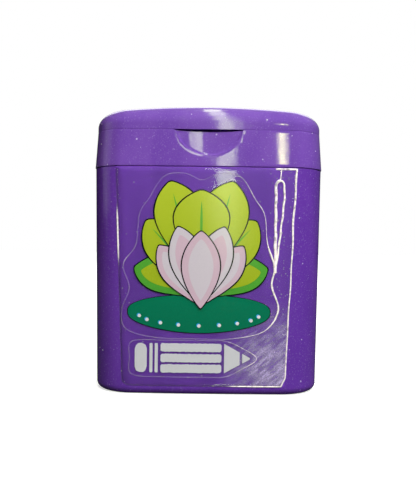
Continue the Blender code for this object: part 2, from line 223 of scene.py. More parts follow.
def arc(centre, radius, start, end, steps):
    """Points of an arc in the (inset, z) plane, from start to end degrees."""
    turns = [math.radians(turn) for turn in even(start, end, steps)]
    return [(centre[0] + radius * math.cos(turn), centre[1] + radius * math.sin(turn)) for turn in turns]


def run(low, high, steps):
    """Evenly spaced points between two (inset, z) points, without the ends."""
    return list(zip(even(low[0], high[0], steps), even(low[1], high[1], steps)))[1:-1]


def bridge(bm, lower, upper):
    count = len(lower)
    for i in range(count):
        j = (i + 1) % count
        bm.faces.new((lower[i], lower[j], upper[j], upper[i]))


def cap(bm, ring):
    """Closes a ring with rings that shrink to its middle, so that the cap can take a crown."""
    middle = sum((vert.co for vert in ring), Vector()) / len(ring)
    outer = ring
    for step in range(1, CAP_RINGS):
        share = 1 - step / CAP_RINGS
        inner = [bm.verts.new(middle + (vert.co - middle) * share) for vert in ring]
        bridge(bm, outer, inner)
        outer = inner
    hub = bm.verts.new(middle)
    for i, vert in enumerate(outer):
        bm.faces.new((vert, outer[(i + 1) % len(outer)], hub))


def moulding(name, profile, crown=False):
    """A closed shell swept round the plan outline. The profile is a list of (inset, z)."""
    bm = bmesh.new()
    rings = [[bm.verts.new(point) for point in outline(z, inset)] for inset, z in profile]
    for lower, upper in zip(rings, rings[1:]):
        bridge(bm, lower, upper)
    cap(bm, rings[0])
    cap(bm, rings[-1])
    if crown:
        for vert in bm.verts:
            share = max(0.0, (vert.co.z - LID_Z) / (HEIGHT - LID_Z))
            vert.co.z -= CROWN_DROP * (vert.co.x / CROWN_AT) ** 2 * share
    return as_object(name, bm)


# ---------------------------------------------------------------- mesh helpers
def linked(name, bm):
    """Turns a bmesh in millimetres into a smooth object in metres."""
    bmesh.ops.scale(bm, vec=(MM, MM, MM), verts=bm.verts)
    mesh = bpy.data.meshes.new(name)
    bm.to_mesh(mesh)
    bm.free()
    mesh.shade_smooth()
    made = bpy.data.objects.new(name, mesh)
    workshop.objects.link(made)
    return made


def as_object(name, bm, sharp=SHARP_ANGLE):
    """Turns a closed bmesh in millimetres into an object, with its normals facing out."""
    bmesh.ops.recalc_face_normals(bm, faces=bm.faces)
    made = linked(name, bm)
    made.data.set_sharp_from_angle(angle=math.radians(sharp))
    return made


def applied(made):
    """Replaces an object's mesh by its evaluated one and clears its modifiers and place."""
    bpy.context.view_layer.update()
    evaluated = made.evaluated_get(bpy.context.evaluated_depsgraph_get())
    mesh = bpy.data.meshes.new_from_object(evaluated)
    mesh.transform(made.matrix_world)
    made.modifiers.clear()
    made.matrix_world = Matrix.Identity(4)
    made.data = mesh
    mesh.shade_smooth()
    mesh.set_sharp_from_angle(angle=math.radians(SHARP_ANGLE))
    return made


def combine(target, tool, operation):
    """Applies one Boolean and removes its tool."""
    modifier = target.modifiers.new(tool.name, "BOOLEAN")
    modifier.operation = operation
    modifier.solver = "EXACT"
    modifier.object = tool
    applied(target)
    bpy.data.objects.remove(tool)


def cut(target, tool):
    combine(target, tool, "DIFFERENCE")


def join(target, tool):
    combine(target, tool, "UNION")


def even_normals(made):
    """Lets the large faces lead the shading, so that cut faces stay even."""
    modifier = made.modifiers.new("even normals", "WEIGHTED_NORMAL")
    modifier.keep_sharp = True
    modifier.weight = 80


def block(name, low, high, bevel=0.0, segments=3):
    bm = bmesh.new()
    low, high = Vector(low), Vector(high)
    place = Matrix.Translation((low + high) / 2) @ Matrix.Diagonal((*(high - low), 1.0))
    bmesh.ops.create_cube(bm, size=1.0, matrix=place)
    if bevel:
        bmesh.ops.bevel(bm, geom=bm.edges[:], offset=bevel, segments=segments, affect="EDGES", profile=0.5)
    return as_object(name, bm)


def turned(name, profile, place=Matrix.Identity(4), steps=ROUND_STEPS):
    """A solid of revolution about Z. The profile is a list of (radius, height), closed on the axis."""
    bm = bmesh.new()
    verts = [bm.verts.new((radius, 0, height)) for radius, height in profile]
    for first, second in zip(verts, verts[1:]):
        bm.edges.new((first, second))
    around = {"cent": (0, 0, 0), "axis": (0, 0, 1), "angle": 2 * math.pi, "steps": steps, "use_merge": True}
    bmesh.ops.spin(bm, geom=bm.verts[:] + bm.edges[:], **around)
    bmesh.ops.remove_doubles(bm, verts=bm.verts, dist=0.002)
    bmesh.ops.transform(bm, matrix=place, verts=bm.verts)
    return as_object(name, bm)


def rod(name, ends, radius, rounding=0.0, steps=48):
    """A round bar along the hinge between two x values, with rounded ends."""
    low_x, length = min(ends), abs(ends[1] - ends[0])
    if rounding:
        start = arc((radius - rounding, rounding), rounding, -90, 0, 4)
        end = arc((radius - rounding, length - rounding), rounding, 0, 90, 4)
        profile = [(0, 0)] + start + end + [(0, length)]
    else:
        profile = [(0, 0), (radius, 0), (radius, length), (0, length)]
    place = Matrix.Translation((low_x, HINGE_Y, HINGE_Z)) @ Matrix.Rotation(math.pi / 2, 4, "Y")
    return turned(name, profile, place, steps)


def ball(name, centre, radii):
    bm = bmesh.new()
    shape = Matrix.Translation(centre) @ Matrix.Diagonal((*radii, 1.0))
    bmesh.ops.create_uvsphere(bm, u_segments=96, v_segments=48, radius=1.0, matrix=shape)
    return as_object(name, bm)


def finish_piece(made, name, body, materials, nodes=()):
    """Names a piece, gives it its materials and body, and hides the CAD nodes it stands for."""
    made.name = name
    for material in materials:
        made.data.materials.append(material)
    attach(made, body)
    if nodes:
        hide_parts(*nodes)
    return made


# ---------------------------------------------------------------- shader helpers
class Nodes:
    """A small writer of node trees."""

    def __init__(self, tree):
        self.tree = tree

    def add(self, kind, inputs=None, **settings):
        """A new node with its settings, and its inputs linked or set by name."""
        node = self.tree.nodes.new(kind)
        for key, value in settings.items():
            setattr(node, key, value)
        for key, value in (inputs or {}).items():
            self.link(value, node.inputs[key])
        return node

    def link(self, source, target):
        """Links a socket to an input, or sets the input to a plain value."""
        if hasattr(source, "is_output"):
            self.tree.links.new(source, target)
        else:
            target.default_value = source

    def feed(self, node, *values):
        """Gives a node its first inputs, in order, and returns its first output."""
        for value, socket in zip(values, node.inputs):
            self.link(value, socket)
        return node.outputs[0]

    def maths(self, operation, *values, clamp=False):
        return self.feed(self.add("ShaderNodeMath", operation=operation, use_clamp=clamp), *values)

    def ramp(self, value, low, high, out_low=0.0, out_high=1.0):
        """Maps value from low..high to out_low..out_high, smoothly and clamped."""
        node = self.add("ShaderNodeMapRange", interpolation_type="SMOOTHSTEP")
        return self.feed(node, value, low, high, out_low, out_high)

    def axes(self, vector):
        node = self.add("ShaderNodeSeparateXYZ")
        self.link(vector, node.inputs[0])
        return node.outputs

    def blend(self, share, first, second):
        """A mix of two shaders."""
        return self.feed(self.add("ShaderNodeMixShader"), share, first, second)

    def camera_sees(self, seen, mirrored_or_lit):
        """Shows one shader to the camera and another to everything else."""
        path = self.add("ShaderNodeLightPath")
        self.show(self.blend(path.outputs["Is Camera Ray"], mirrored_or_lit, seen))

    def show(self, shader):
        output = next(node for node in self.tree.nodes if node.type in ("OUTPUT_MATERIAL", "OUTPUT_WORLD"))
        self.link(shader, output.inputs["Surface"])


class Shader(Nodes):
    """The node tree of a material, in the object's own millimetres."""

    def __init__(self, name):
        self.material = bpy.data.materials.new(name)
        self.material.use_nodes = True
        super().__init__(self.material.node_tree)
        self.main = self.tree.nodes["Principled BSDF"]
        scaled = self.add("ShaderNodeVectorMath", {"Scale": 1 / MM}, operation="SCALE")
        self.place = self.feed(scaled, self.add("ShaderNodeTexCoord").outputs["Object"])
        self.x, self.y, self.z = self.axes(self.place)

    def stretched(self, scale, turn=0.0):
        """The place, turned about Y and stretched, for streaks."""
        inputs = {"Rotation": (0, math.radians(turn), 0), "Scale": [1 / share for share in scale]}
        node = self.add("ShaderNodeMapping", {"Vector": self.place, **inputs}, vector_type="TEXTURE")
        return node.outputs[0]

    def noise(self, scale, detail=2.0, place=None, distortion=0.0):
        inputs = {"Vector": place or self.place, "Scale": scale, "Detail": detail, "Distortion": distortion}
        return self.add("ShaderNodeTexNoise", inputs).outputs[0]

    def cells(self, scale, place):
        """Distance to the nearest cell point, and a random number for each cell."""
        node = self.add("ShaderNodeTexVoronoi", {"Vector": place, "Scale": scale})
        return node.outputs["Distance"], self.feed(self.add("ShaderNodeSeparateColor"), node.outputs["Color"])

    def mix(self, share, first, second):
        node = self.add("ShaderNodeMix", {"Factor": share, "A": first, "B": second}, data_type="RGBA")
        return node.outputs["Result"]

    def tinted(self, base, mask, share, tone):
        """The base colour with that share of another tone where the mask is 1."""
        return self.mix(self.maths("MULTIPLY", mask, share), base, tone)

    def specks(self, scale, share, size):
        """A mask of small ragged specks: share of the cells hold one, of up to that size in cells."""
        ragged = self.add("ShaderNodeTexNoise", {"Vector": self.place, "Scale": scale * 3})
        wobble = self.add("ShaderNodeVectorMath", operation="MULTIPLY_ADD")
        moved = self.feed(wobble, ragged.outputs["Color"], (0.3 / scale,) * 3, self.place)
        distance, lot = self.cells(scale, moved)
        radius = self.maths("MULTIPLY", self.ramp(lot, 1 - share, 1.0), size)
        return self.maths("LESS_THAN", distance, radius)

    def bump(self, height, strength, distance):
        inputs = {"Strength": strength, "Distance": distance * MM, "Height": height}
        return self.add("ShaderNodeBump", inputs).outputs[0]

    def set(self, **values):
        for key, value in values.items():
            self.link(value, self.main.inputs[key.replace("_", " ")])
        return self.material


def colour(red, green, blue):
    """A colour given as 0-255 display values, as the linear values a shader takes."""
    linear = [((c / 255 + 0.055) / 1.055) ** 2.4 if c > 10 else c / 255 / 12.92 for c in (red, green, blue)]
    return (*linear, 1.0)


# ---------------------------------------------------------------- materials
def purple_plastic(name, tone, deep, gloss=0.07, under_film=False):
    """Glossy moulded purple plastic with faint flow marks, fine scratches, smudges and dust; under the film,
    painted light: a lighter purple.
    """
    s = Shader(name)
    flow = s.noise(0.16, 3, s.stretched((1, 1, 0.35)), 0.6)
    base = s.mix(s.ramp(flow, 0.35, 0.65), tone, deep)
    dust = s.specks(1.25, 0.10, 0.2)
    grime = s.specks(3.0, 0.2, 0.3)
    base = s.tinted(base, dust, 0.6, colour(214, 200, 226))
    base = s.tinted(base, grime, 0.35, colour(178, 150, 214))
    scratch_a = s.ramp(s.noise(2.2, 3, s.stretched((0.25, 1, 6.0), 24)), 0.66, 0.74)
    scratch_b = s.ramp(s.noise(2.6, 3, s.stretched((7.0, 1, 0.22), 8)), 0.67, 0.75)
    scratches = s.maths("MAXIMUM", scratch_a, scratch_b)
    base = s.tinted(base, scratches, 0.10, colour(190, 165, 220))
    grain = s.ramp(s.noise(4.5, 3), 0.56, 0.72, 0.0, 0.16)
    base = s.mix(grain, base, colour(196, 176, 226))
    smudge = s.ramp(s.noise(0.22, 4, distortion=0.8), 0.48, 0.72, 0.0, 0.06)
    rough = s.maths("ADD", smudge, gloss)
    rough = s.maths("MULTIPLY_ADD", scratches, 0.10, rough)
    rough = s.maths("MULTIPLY_ADD", dust, 0.4, rough)
    if under_film:
        mask = film_mask(s)
        # Painted light: under the film the same plastic is painted a lighter purple than beside it, and made
        # rougher.
        painted_light_under_film = s.mix(s.ramp(flow, 0.35, 0.65), colour(121, 60, 194), colour(112, 54, 184))
        base = s.mix(mask, base, painted_light_under_film)
        rough = s.maths("MULTIPLY_ADD", mask, 0.5, rough)
    waves = s.noise(0.5, 2)
    fine = s.maths("MULTIPLY_ADD", waves, 1.0, s.maths("MULTIPLY", s.noise(9.0, 2), 0.05))
    fine = s.maths("MULTIPLY_ADD", dust, 0.3, fine)
    return s.set(Base_Color=base, Roughness=rough, Normal=s.bump(fine, 0.3, 0.02))


def film_mask(s):
    """1 about where the clear film lies on the front face, where the plastic under it is painted lighter:
    painted light, not a different plastic.
    """
    low, high = FILM_LOW_Z, FILM_HIGH_Z
    right = s.maths("LESS_THAN", s.x, s.ramp(s.z, low, high, FILM_BASE_RIGHT, FILM_TOP_RIGHT))
    left = s.maths("GREATER_THAN", s.x, s.ramp(s.z, low, high, FILM_BASE_LEFT, FILM_TOP_LEFT))
    inside = s.maths("MULTIPLY", left, right)
    front = s.maths("LESS_THAN", s.y, -9.0)
    above = s.maths("GREATER_THAN", s.z, FILM_LOW_Z)
    return s.maths("MULTIPLY", inside, s.maths("MULTIPLY", front, above))


def insert_plastic():
    s = Shader("insert_plastic")
    spots = s.noise(6.0, 4)
    base = s.mix(s.ramp(s.noise(0.4, 3), 0.3, 0.7), colour(196, 197, 202), colour(180, 181, 188))
    rough = s.ramp(spots, 0.3, 0.7, 0.34, 0.5)
    return s.set(Base_Color=base, Roughness=rough, Normal=s.bump(spots, 0.4, 0.02))


def steel(name, tone, worn, turn, rough_low, rough_high):
    """Metal with fine grinding lines."""
    s = Shader(name)
    lines = s.noise(7.0, 4, s.stretched((0.12, 0.6, 4.0), turn))
    stain = s.ramp(s.noise(0.5, 4), 0.45, 0.75)
    base = s.mix(stain, tone, worn)
    rough = s.ramp(lines, 0.3, 0.7, rough_low, rough_high)
    s.main.inputs["Metallic"].default_value = 1.0
    return s.set(Base_Color=base, Roughness=rough, Normal=s.bump(lines, 0.3, 0.01))


def printed(name, light, dark, slope=0.0, middle=25.0, sheen=0.07):
    """Printed ink with a fine halftone grain and a gradient along the height."""
    s = Shader(name)
    grain = s.noise(7.0, 2)
    height = s.maths("MULTIPLY", s.maths("SUBTRACT", middle, s.z), slope)
    share = s.maths("ADD", s.ramp(grain, 0.3, 0.7, -0.18, 0.18), height)
    share = s.maths("ADD", share, 0.4, clamp=True)
    rough = s.ramp(s.noise(4.0, 3), 0.3, 0.7, sheen, sheen + 0.1)
    return s.set(Base_Color=s.mix(share, light, dark), Roughness=rough, Normal=s.bump(grain, 0.5, 0.012))


def clear_film():
    """Clear glossy film with haze and rubbed scratches towards its lower right corner."""
    s = Shader("clear_film")
    clear = s.add("ShaderNodeBsdfTransparent")
    waves = s.maths("ADD", s.noise(0.45, 2), s.maths("MULTIPLY", s.noise(3.0, 2), 0.12))
    mirror = {"Color": (1, 1, 1, 1), "Roughness": 0.06, "Normal": s.bump(waves, 0.3, 0.025)}
    gloss = s.add("ShaderNodeBsdfGlossy", mirror)
    fresnel = s.add("ShaderNodeFresnel", {"IOR": 1.45})
    shine = s.blend(s.maths("MULTIPLY", fresnel.outputs[0], 0.7), clear.outputs[0], gloss.outputs[0])

    corner = s.maths("MULTIPLY", s.ramp(s.x, 1.0, 14.0), s.ramp(s.z, 19.0, 5.0))
    rubbed = s.ramp(s.noise(1.5, 6, s.stretched((1.0, 1, 0.22), 50)), 0.3, 0.75, 0.15, 1.0)
    edge = s.maths("MULTIPLY", s.ramp(s.x, 9.5, 13.5), s.ramp(s.z, 42.0, 30.0, 0.7, 1.0))
    speckle = s.maths("MULTIPLY", s.specks(2.6, 0.3, 0.35), edge)
    rubbed = s.maths("MULTIPLY", rubbed, s.ramp(s.noise(5.0, 4), 0.35, 0.62, 0.45, 1.0))
    haze = s.maths("MULTIPLY", s.maths("MULTIPLY", corner, rubbed), 1.1)
    haze = s.maths("MULTIPLY_ADD", speckle, 0.55, haze)
    haze = s.maths("MULTIPLY_ADD", s.specks(1.5, 0.14, 0.2), 0.5, haze)
    haze = s.maths("ADD", haze, 0.01, clamp=True)
    s.show(s.blend(haze, shine, s.main.outputs[0]))
    tone = s.mix(s.noise(2.0, 3), colour(186, 164, 226), colour(218, 204, 240))
    return s.set(Base_Color=tone, Roughness=s.ramp(waves, 0.3, 0.7, 0.3, 0.45))


def film_edge_and_highlight_material(name, faint_x, bright_x, faint):
    """The film's whitened, glowing edge: faint up to faint_x, bright from bright_x, with one streak on its
    left. The white is partly the cut edge's own colour and partly painted highlight: the brightening to the
    right, the streak and the glow.
    """
    s = Shader(name)
    # Painted highlight: brighter towards the right and in one streak on the left, where light catches the
    # edge.
    right = s.ramp(s.x, faint_x, bright_x, faint, 1.0)
    left = s.maths("MULTIPLY", s.ramp(s.z, 24.0, 29.0), s.ramp(s.z, 36.5, 33.0))
    left = s.maths("MULTIPLY", s.ramp(s.x, -14.5, -15.5), left)
    breaks = s.ramp(s.noise(1.3, 4), 0.25, 0.55, 0.35, 1.0)
    cover = s.maths("MULTIPLY", s.maths("ADD", right, left, clamp=True), breaks)
    tone = s.mix(s.noise(2.5, 3), colour(250, 244, 230), colour(240, 230, 234))
    rough = s.ramp(s.noise(3.0, 2), 0.3, 0.7, 0.12, 0.3)
    # Painted light: the edge glows a little, though it is no lamp.
    s.main.inputs["Emission Strength"].default_value = 0.25
    return s.set(Base_Color=tone, Roughness=rough, Alpha=cover, Emission_Color=tone)


# ---------------------------------------------------------------- container
def make_container():
    """The shavings container, with a rounded rim and a recessed underside with a gate mark."""
    top = SEAM_Z - SEAM_LINE
    rim = EDGE_ROUND
    profile = [(6.4, 0.45), (5.6, 0.45), (5.2, 0.3), (4.9, 0.05), (4.6, 0.0), (BASE_FILLET + 0.4, 0.0)]
    profile += arc((BASE_FILLET, BASE_FILLET), BASE_FILLET, -90, -180, 12)
    profile += run((0.0, BASE_FILLET), (0.0, top - rim), 40)
    profile += arc((rim, top - rim), rim, 180, 90, 4)
    profile += arc((WALL - rim, top - rim), rim, 90, 0, 4)
    profile += run((WALL, top - rim), (WALL, FLOOR + 1.5), 12)
    profile += arc((WALL + 1.5, FLOOR + 1.5), 1.5, 180, 270, 6)
    made = moulding("container_shell", profile)
    gate = [(0, 0.8), (1.3, 0.8), (1.3, 0.3), (1.1, 0.18), (0.5, 0.14), (0, 0.14)]
    join(made, turned("gate", gate))
    for side in (-1, 1):
        place = Matrix.Translation((side * 9.0, 0, 0))
        cut(made, turned("ejector mark", [(0, 0.2), (2.0, 0.2), (2.0, 0.6), (0, 0.6)], place))
    even_normals(made)
    return made


# ---------------------------------------------------------------- head
def make_head():
    """The plug-in head: skirt lip, deck with two pencil holes, finger scoop and hinge knuckles."""
    top = LID_LOW - LID_LINE
    deck_under = LID_Z - 0.2 - DECK
    lip_low = SEAM_Z - LIP_DEPTH
    rim = EDGE_ROUND
    profile = [(LIP_IN + 0.5, deck_under), (LIP_IN, deck_under - 0.5)]
    profile += run((LIP_IN, deck_under - 0.5), (LIP_IN, lip_low + 0.3), 10)
    profile += arc((LIP_IN - 0.3, lip_low + 0.3), 0.3, 0, -90, 4)
    profile += arc((LIP_OUT + 0.4, lip_low + 0.4), 0.4, -90, -180, 4)
    profile += [(LIP_OUT, SEAM_Z - 1.0), (LIP_OUT, SEAM_Z)]
    profile += [(1.0, SEAM_Z), (rim - HEAD_STEP + 0.1, SEAM_Z)]
    profile += arc((rim - HEAD_STEP, SEAM_Z + rim), rim, -90, -180, 4)
    profile += run((-HEAD_STEP, SEAM_Z + rim), (0.0, top - LID_EDGE), 14)
    profile += arc((LID_EDGE, top - LID_EDGE), LID_EDGE, 180, 90, 4)
    made = moulding("head_shell", profile)

    backing_low = (-BACKING_HALF, -DEPTH / 2 + 0.8, 44.3)
    join(made, block("backing", backing_low, (BACKING_HALF, -BACKING_Y, deck_under + 0.4), 0.3))
    for hole in HOLES:
        add_socket(made, hole, deck_under, top)
    cut(made, scoop_cutter())
    cut(made, ball("nail slot", (0, front_y(0, top), top), SLOT_RADII))
    cut(made, rod("barrel relief", (-BARREL_END, BARREL_END), RELIEF_RADIUS))
    for side in (-1, 1):
        join(made, rod("knuckle", (side * KNUCKLE_START, side * KNUCKLE_END), BARREL_RADIUS, 0.15))
        bore = (side * (KNUCKLE_START - 0.5), side * (KNUCKLE_END + 0.5))
        cut(made, rod("knuckle bore", bore, STUB_BORE))
    even_normals(made)
    return made


def add_socket(head, hole, deck_under, top):
    """A socket under the deck that holds an insert, and the rounded pencil hole through the deck."""
    x, half_w, half_d = hole["x"], hole["half_w"] + SOCKET_GAP, hole["half_d"] + SOCKET_GAP
    low = deck_under - SOCKET_DEPTH
    rim_low = (x - half_w - SOCKET_WALL, -half_d - SOCKET_WALL, low)
    rim_high = (x + half_w + SOCKET_WALL, half_d + SOCKET_WALL, deck_under + 0.4)
    join(head, block("socket", rim_low, rim_high, 0.25))
    pocket = block("pocket", (x - half_w, -half_d, low - 1), (x + half_w, half_d, deck_under + 0.06))
    cut(head, pocket)
    bore = hole["bore"]
    rounding = arc((bore + MOUTH_ROUND, top - MOUTH_ROUND), MOUTH_ROUND, 180, 100, 8)
    profile = [(0, deck_under - 0.5), (bore, deck_under - 0.5)] + rounding
    profile += [(bore + 1.6, top + 0.3), (0, top + 0.3)]
    cut(head, turned("mouth", profile, Matrix.Translation((x, 0, 0))))


def scoop_cutter():
    """A round sheet sunk below the front face and hollowed across, with a rounded edge, closed in front."""
    floor_edge = SCOOP_RADIUS - SCOOP_EDGE
    rows = [(floor_edge * step / 15, 1, 0) for step in range(1, 16)]
    rows.append((SCOOP_RADIUS, 1, -SCOOP_EDGE * 0.6))
    for angle in even(0.0, math.pi / 2, 4):
        reach = SCOOP_RADIUS + SCOOP_EDGE * (1 - math.cos(angle))
        rows.append((reach, 0, SCOOP_EDGE * (1 - math.sin(angle))))
    rows.append((SCOOP_RADIUS + SCOOP_EDGE + 0.5, 0, -0.04))
    bm = bmesh.new()
    rings = [[bm.verts.new(scoop_point(*row, turn)) for turn in range(ROUND_STEPS)] for row in rows]
    rings.append([bm.verts.new((vert.co.x, -DEPTH, vert.co.z)) for vert in rings[-1]])
    for inner, outer in zip(rings, rings[1:]):
        bridge(bm, inner, outer)
    hub = bm.verts.new(scoop_point(0, 1, 0, 0))
    for i, vert in enumerate(rings[0]):
        bm.faces.new((vert, rings[0][(i + 1) % ROUND_STEPS], hub))
    bm.faces.new(rings[-1])
    return as_object("scoop cutter", bm)


def scoop_point(radius, share, lift, turn):
    """A point below the front face, by share of the hollow's depth there plus lift."""
    angle = 2 * math.pi * turn / ROUND_STEPS
    x, z = radius * math.cos(angle), SCOOP_CENTRE_Z + radius * math.sin(angle)
    depth = share * (SCOOP_DEPTH - x**2 / (2 * SCOOP_HOLLOW)) + lift
    return (x, front_y(x, z, -depth), z)


# ---------------------------------------------------------------- lid
def make_lid():
    """The crowned flip lid with its nail ledge, hinge rail, seal rings, barrel and stub pins."""
    under = HEIGHT - LID_WALL
    low = LID_LOW
    rim = LID_EDGE
    profile = [(LID_WALL + 1.6, under - 0.1), (LID_WALL + 0.5, under - 0.7), (LID_WALL, under - 1.6)]
    profile += [(LID_WALL, low + 0.1), (LID_WALL - 0.1, low), (rim + 0.1, low)]
    profile += arc((rim, low + rim), rim, -90, -180, 4)
    profile += run((0.0, low + rim), (0.0, HEIGHT - LID_FILLET), 4)
    profile += arc((LID_FILLET, HEIGHT - LID_FILLET), LID_FILLET, 180, 90, 18)
    made = moulding("lid_shell", profile, crown=True)

    ledge_low = (-BACKING_HALF, -DEPTH / 2 + 0.9, low)
    join(made, block("ledge", ledge_low, (BACKING_HALF, -BACKING_Y, LEDGE_Z), 0.15))
    rail_low = (-RAIL_HALF, BACKING_Y + 0.4, low)
    join(made, block("rail", rail_low, (RAIL_HALF, DEPTH / 2 - 0.9, LEDGE_Z + 0.4), 0.15))
    for hole in HOLES:
        add_seal(made, hole, under)
    for side in (-1, 1):
        cut(made, rod("knuckle relief", (side * BARREL_END, side * (KNUCKLE_END + 0.15)), RELIEF_RADIUS))
    join(made, rod("barrel", (-BARREL_HALF, BARREL_HALF), BARREL_RADIUS, 0.15))
    join(made, rod("stub pins", (-STUB_END, STUB_END), STUB_RADIUS, 0.15))
    even_normals(made)
    return made


def add_seal(lid, hole, under):
    """A ring under the lid that closes round the mouth of a pencil hole."""
    place = Matrix.Translation((hole["x"], 0, 0))
    outer = hole["bore"] + MOUTH_ROUND + SEAL_WALL
    inner = outer - SEAL_WALL
    tip = arc((inner + SEAL_WALL / 2, LID_Z + SEAL_WALL / 2), SEAL_WALL / 2, 180, 360, 8)
    profile = [(0, under - 0.3), (inner, under - 0.3)] + tip + [(outer, under + 0.4), (0, under + 0.4)]
    join(lid, turned("seal", profile, place))


# ---------------------------------------------------------------- inserts, blades and screws
def cone_length(hole):
    return (hole["bore"] - CONE_TIP) / math.tan(math.radians(hole["angle"]))


def seat_matrix(hole):
    """Frame on the blade's seat: X across, Y out of it, Z up along the cutting edge, origin mid-edge."""
    slope = math.radians(hole["angle"])
    middle_radius = (hole["bore"] + CONE_TIP) / 2 - SEAT_INSET / math.cos(slope)
    middle = Vector((hole["x"], middle_radius, INSERT_TOP_Z - LEAD_IN - cone_length(hole) / 2))
    return Matrix.Translation(middle) @ Matrix.Rotation(-slope, 4, "X")


def blade_size(hole):
    """Width and length of the blade that covers this insert's seat."""
    return hole["half_w"] - 0.2, cone_length(hole) + 1.0


def screw_matrix(hole):
    """Frame on the screw's axis: Z out of the seat."""
    shift = Matrix.Translation((blade_size(hole)[0] * 0.62, 0, -cone_length(hole) * 0.08))
    return seat_matrix(hole) @ shift @ Matrix.Rotation(-math.pi / 2, 4, "X")


def put(made, matrix):
    """Places an object made in millimetres by a matrix in millimetres."""
    scale = Matrix.Diagonal((MM, MM, MM, 1.0))
    made.matrix_world = scale @ matrix @ scale.inverted()
    return applied(made)


def make_insert(hole):
    """A block with a conical bore, a slanted blade seat and moulded grip grooves on its front."""
    x, half_w, half_d = hole["x"], hole["half_w"], hole["half_d"]
    length = cone_length(hole)
    low = INSERT_TOP_Z - LEAD_IN - length - BLOCK_FOOT
    made = block("insert", (x - half_w, -half_d, low), (x + half_w, half_d, INSERT_TOP_Z), 0.5, 4)
    reach = 40.0
    seat = block("seat", (-reach / 2, 0, -reach), (reach / 2, reach / 2, length / 2 - 0.6))
    cut(made, put(seat, seat_matrix(hole)))
    cone_top = INSERT_TOP_Z - LEAD_IN
    bore = hole["bore"]
    profile = [(0, INSERT_TOP_Z + 1), (bore + 0.6, INSERT_TOP_Z + 1), (bore + 0.3, INSERT_TOP_Z + 0.01)]
    profile += [(bore, INSERT_TOP_Z - 0.4), (bore, cone_top), (CONE_TIP, cone_top - length)]
    profile += [(CONE_TIP, low - 1), (0, low - 1)]
    cut(made, turned("taper", profile, Matrix.Translation((x, 0, 0))))
    pilot = [(0, -SCREW_LENGTH), (SCREW_HOLE, -SCREW_LENGTH), (SCREW_HOLE, 1), (0, 1)]
    cut(made, put(turned("pilot", pilot, steps=32), screw_matrix(hole)))
    for step in range(GROOVE_COUNT):
        z = low + 2.2 + step * 1.5
        groove_low = (x - half_w + 1.6, -half_d - 1.0, z)
        cut(made, block("groove", groove_low, (x + half_w - 1.6, -half_d + 0.35, z + 0.7), 0.18))
    even_normals(made)
    return made


def make_blade(hole):
    """A flat blade whose ground edge lies along the middle of the cone."""
    width, length = blade_size(hole)
    low, high = -length / 2 - 0.6, length / 2 - 1.4
    bm_low = (0, BLADE_GAP, low)
    made = block("blade", bm_low, (width, BLADE_GAP + BLADE_THICK, high), 0.06, 2)
    put(made, seat_matrix(hole))
    grind = block("grind", (-4, 0, -length), (0, 4, length))
    angle = math.atan2(BLADE_THICK, BLADE_BEVEL)
    edge = Matrix.Translation((-0.02, BLADE_GAP + 0.12, 0)) @ Matrix.Rotation(angle - math.pi / 2, 4, "Z")
    cut(made, put(grind, seat_matrix(hole) @ edge))
    sunk = [(0, -1), (SCREW_HOLE, -1), (SCREW_HOLE, BLADE_THICK - 0.1)]
    sunk += [(SCREW_HOLE + 0.25, BLADE_THICK + 0.15), (SCREW_HOLE + 0.25, 2), (0, 2)]
    cut(made, put(turned("blade hole", sunk, steps=48), screw_matrix(hole)))
    return made


def make_screw(hole):
    """A pan-head slotted screw that clamps the blade to its seat."""
    seat = BLADE_GAP + BLADE_THICK + BLADE_GAP
    top = seat + SCREW_HEAD_HEIGHT
    profile = [(0, top)]
    for angle in even(math.radians(90), math.radians(10), 8):
        bulge = SCREW_HEAD_HEIGHT * 0.45 * (math.sin(angle) - 1)
        profile.append((SCREW_HEAD * (0.55 + 0.45 * math.cos(angle)), top + bulge))
    profile += [(SCREW_HEAD, seat + 0.12), (SCREW_HEAD - 0.12, seat), (SCREW_SHANK, seat)]
    foot = 0.3 - SCREW_LENGTH
    profile += [(SCREW_SHANK, 1 - SCREW_LENGTH), (SCREW_SHANK * 0.4, foot), (0, foot)]
    made = turned("screw", profile, steps=64)
    slot_low = (-SCREW_HEAD - 1, -SCREW_SLOT / 2, top - SCREW_HEAD_HEIGHT * 0.5)
    cut(made, block("slot", slot_low, (SCREW_HEAD + 1, SCREW_SLOT / 2, top + 1)))
    return put(made, screw_matrix(hole))


# ---------------------------------------------------------------- flat shapes on the front face
def lay(bm, sections, layer, material_index, out=ART_OUT, across=8):
    """Adds a patch that follows the front face. sections is a list of (left, right) points (x, z)."""
    rows = []
    for left, right in sections:
        places = zip(even(left[0], right[0], across), even(left[1], right[1], across))
        rows.append([bm.verts.new((x, front_y(x, z, out + layer * LAYER), z)) for x, z in places])
    for lower, upper in zip(rows, rows[1:]):
        for i in range(across):
            face = bm.faces.new((lower[i], lower[i + 1], upper[i + 1], upper[i]))
            face.material_index = material_index


def leaf(base, tip, width, widest=0.5, bend=0.0, grow=0.0, blunt=0.75, steps=30, end=0.004):
    """Sections of a leaf from base to tip. widest is the share of its length where it is widest."""
    base, tip = Vector(base), Vector(tip)
    along = (tip - base).normalized()
    side = Vector((-along.y, along.x))
    base, tip = base - along * grow, tip + along * grow
    power = math.log(0.5) / math.log(widest)
    sections = []
    for step in range(steps + 1):
        share = min(max(0.5 - 0.5 * math.cos(math.pi * step / steps), end), 1 - end)
        middle = base.lerp(tip, share) + side * bend * math.sin(math.pi * share)
        half = (width / 2 + grow) * math.sin(math.pi * share**power) ** blunt
        sections.append((middle + side * half, middle - side * half))
    return sections


def disc(centre, radius_x, radius_z, steps=16):
    """Sections of an ellipse."""
    sections = []
    for share in even(0.0, 1.0, steps):
        angle = math.pi * min(max(share, 0.02), 0.98)
        z = centre[1] - radius_z * math.cos(angle)
        half = radius_x * math.sin(angle)
        sections.append(((centre[0] - half, z), (centre[0] + half, z)))
    return sections


def as_print(name, bm):
    """Patches as thin ink, each face shaded flat."""
    made = as_sheet(name, bm, ART_THICK)
    made.data.shade_flat()
    return made


